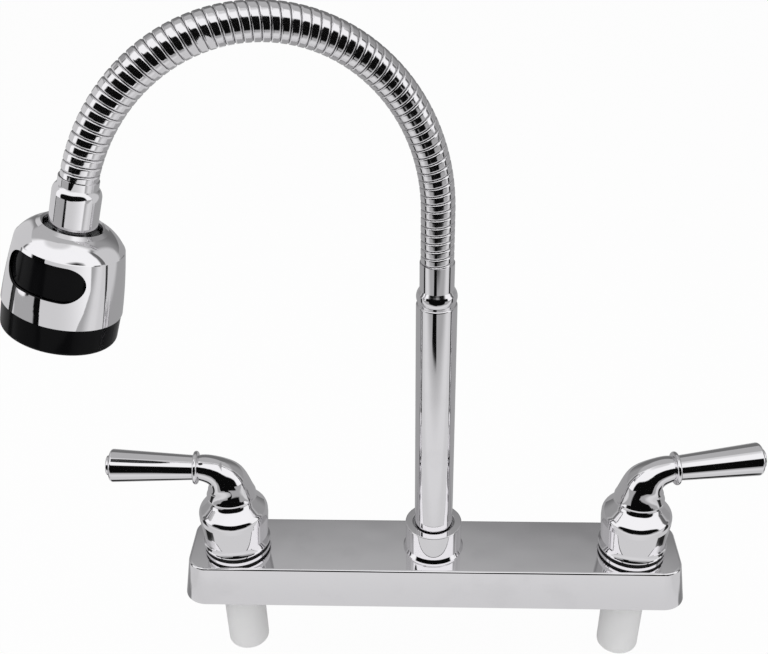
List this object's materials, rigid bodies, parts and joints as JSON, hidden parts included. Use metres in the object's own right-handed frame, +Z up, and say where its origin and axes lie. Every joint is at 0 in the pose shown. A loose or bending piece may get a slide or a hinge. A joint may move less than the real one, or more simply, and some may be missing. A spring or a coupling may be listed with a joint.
{
  "type": "two handle kitchen faucet",
  "caption": "Deck-mounted kitchen faucet with two lever handles, a swivelling riser, a self-holding ribbed gooseneck and a two-way spray head on a ball swivel",
  "frame": {"origin": "centre of the deck cover's underside, on the spout's axis", "axes": "+X to the user's right along the deck, +Y to the wall, +Z up"},
  "size_m": [0.3357, 0.0868, 0.3413],
  "materials": {
    "bright_chrome": "mirror-bright nickel and chrome plate",
    "hose_chrome": "bright plated strip wound on itself",
    "black_gloss": "glossy moulded black",
    "black_rubber": "smooth black rubber",
    "white_cap": "soft satin white plastic",
    "cast_brass": "machined brass",
    "ceramic": "lapped ceramic",
    "steel": "plain stainless steel",
    "grey_nylon": "moulded nylon",
    "spray_face": "satin grey moulding",
    "soft_tube": "soft reinforced tube"
  },
  "bodies": {
    "base": {"cold_base_gasket": "black_rubber", "cold_bonnet_nut": "cast_brass", "cold_cartridge_housing": "cast_brass", "cold_cover_nut": "grey_nylon", "cold_lower_disc": "ceramic", "cold_seat_seal": "black_rubber", "cold_supply_tube": "steel", "cold_valve_body": "cast_brass", "deck_cover": "bright_chrome", "hot_base_gasket": "black_rubber", "hot_bonnet_nut": "cast_brass", "hot_cartridge_housing": "cast_brass", "hot_cover_nut": "grey_nylon", "hot_lower_disc": "ceramic", "hot_seat_seal": "black_rubber", "hot_supply_tube": "steel", "hot_valve_body": "cast_brass", "spout_collar_nut": "bright_chrome", "spout_flange_ring": "bright_chrome", "spout_socket": "cast_brass"},
    "hot_lever": {"hot_handle": "bright_chrome", "hot_lever_end_cap": "bright_chrome", "hot_handle_set_screw": "steel", "hot_stem": "cast_brass", "hot_stem_o_ring": "black_rubber", "hot_upper_disc": "ceramic"},
    "cold_lever": {"cold_handle": "bright_chrome", "cold_lever_end_cap": "bright_chrome", "cold_handle_set_screw": "steel", "cold_stem": "cast_brass", "cold_stem_o_ring": "black_rubber", "cold_upper_disc": "ceramic"},
    "hot_cap": {"hot_shank_cap": "white_cap"},
    "cold_cap": {"cold_shank_cap": "white_cap"},
    "spout": {"riser_tube": "bright_chrome", "spout_spigot": "cast_brass", "spout_o_ring_lower": "black_rubber", "spout_o_ring_upper": "black_rubber", "spout_retaining_ring": "steel", "lower_ferrule": "bright_chrome", "hose_lower": "hose_chrome", "hose_flex_lower": "hose_chrome", "water_tube": "soft_tube"},
    "gooseneck_middle": {"hose_middle": "hose_chrome", "hose_flex_upper": "hose_chrome"},
    "gooseneck_end": {"hose_upper": "hose_chrome", "upper_ferrule": "bright_chrome"},
    "ball": {"swivel_ball": "steel"},
    "spray_head": {"head_shell": "bright_chrome", "ball_retainer": "grey_nylon", "ball_seal": "black_rubber", "inlet_body": "grey_nylon", "face_ring": "black_gloss", "spray_plate": "spray_face", "aerator_insert": "spray_face", "button_spring": "steel"},
    "button": {"mode_button": "black_gloss", "diverter_plunger": "grey_nylon"}
  },
  "joints": [
    {"name": "spout_swivel", "type": "hinge", "parent": "base", "child": "spout", "pos_m": [0, 0, 0.03], "axis": [0, 0, 1], "continuous": true},
    {"name": "gooseneck_lower_bend", "type": "hinge", "parent": "spout", "child": "gooseneck_middle", "pos_m": [-0.00722, -0.00198, 0.24349], "axis": [0.2639, -0.9646, 0], "range_deg": [-20, 25], "deforming": ["hose_flex_lower", "water_tube"]},
    {"name": "gooseneck_upper_bend", "type": "hinge", "parent": "gooseneck_middle", "child": "gooseneck_end", "pos_m": [-0.10375, -0.02838, 0.27833], "axis": [0.2639, -0.9646, 0], "range_deg": [-30, 30], "deforming": ["hose_flex_upper", "water_tube"]},
    {"name": "head_spin", "type": "hinge", "parent": "gooseneck_end", "child": "ball", "pos_m": [-0.14269, -0.03904, 0.21093], "axis": [0.2829, 0.0774, 0.956], "continuous": true},
    {"name": "head_tilt", "type": "hinge", "parent": "ball", "child": "spray_head", "pos_m": [-0.14269, -0.03904, 0.21093], "axis": [0.2639, -0.9646, 0], "range_deg": [-8, 8]},
    {"name": "button_press", "type": "slide", "parent": "spray_head", "child": "button", "axis": [0.2163, 0.9659, -0.1422], "range_m": [0, 0.0018], "stiffness_N_per_m": 300, "springref_m": -0.004, "deforming": ["button_spring"]},
    {"name": "hot_handle_turn", "type": "hinge", "parent": "base", "child": "hot_lever", "pos_m": [-0.1016, 0, 0.04], "axis": [0, 0, 1], "range_deg": [0, 90]},
    {"name": "cold_handle_turn", "type": "hinge", "parent": "base", "child": "cold_lever", "pos_m": [0.1016, 0, 0.04], "axis": [0, 0, -1], "range_deg": [0, 90]},
    {"name": "hot_cap_pull", "type": "slide", "parent": "base", "child": "hot_cap", "axis": [0, 0, -1], "range_m": [0, 0.05]},
    {"name": "cold_cap_pull", "type": "slide", "parent": "base", "child": "cold_cap", "axis": [0, 0, -1], "range_m": [0, 0.05]}
  ]
}
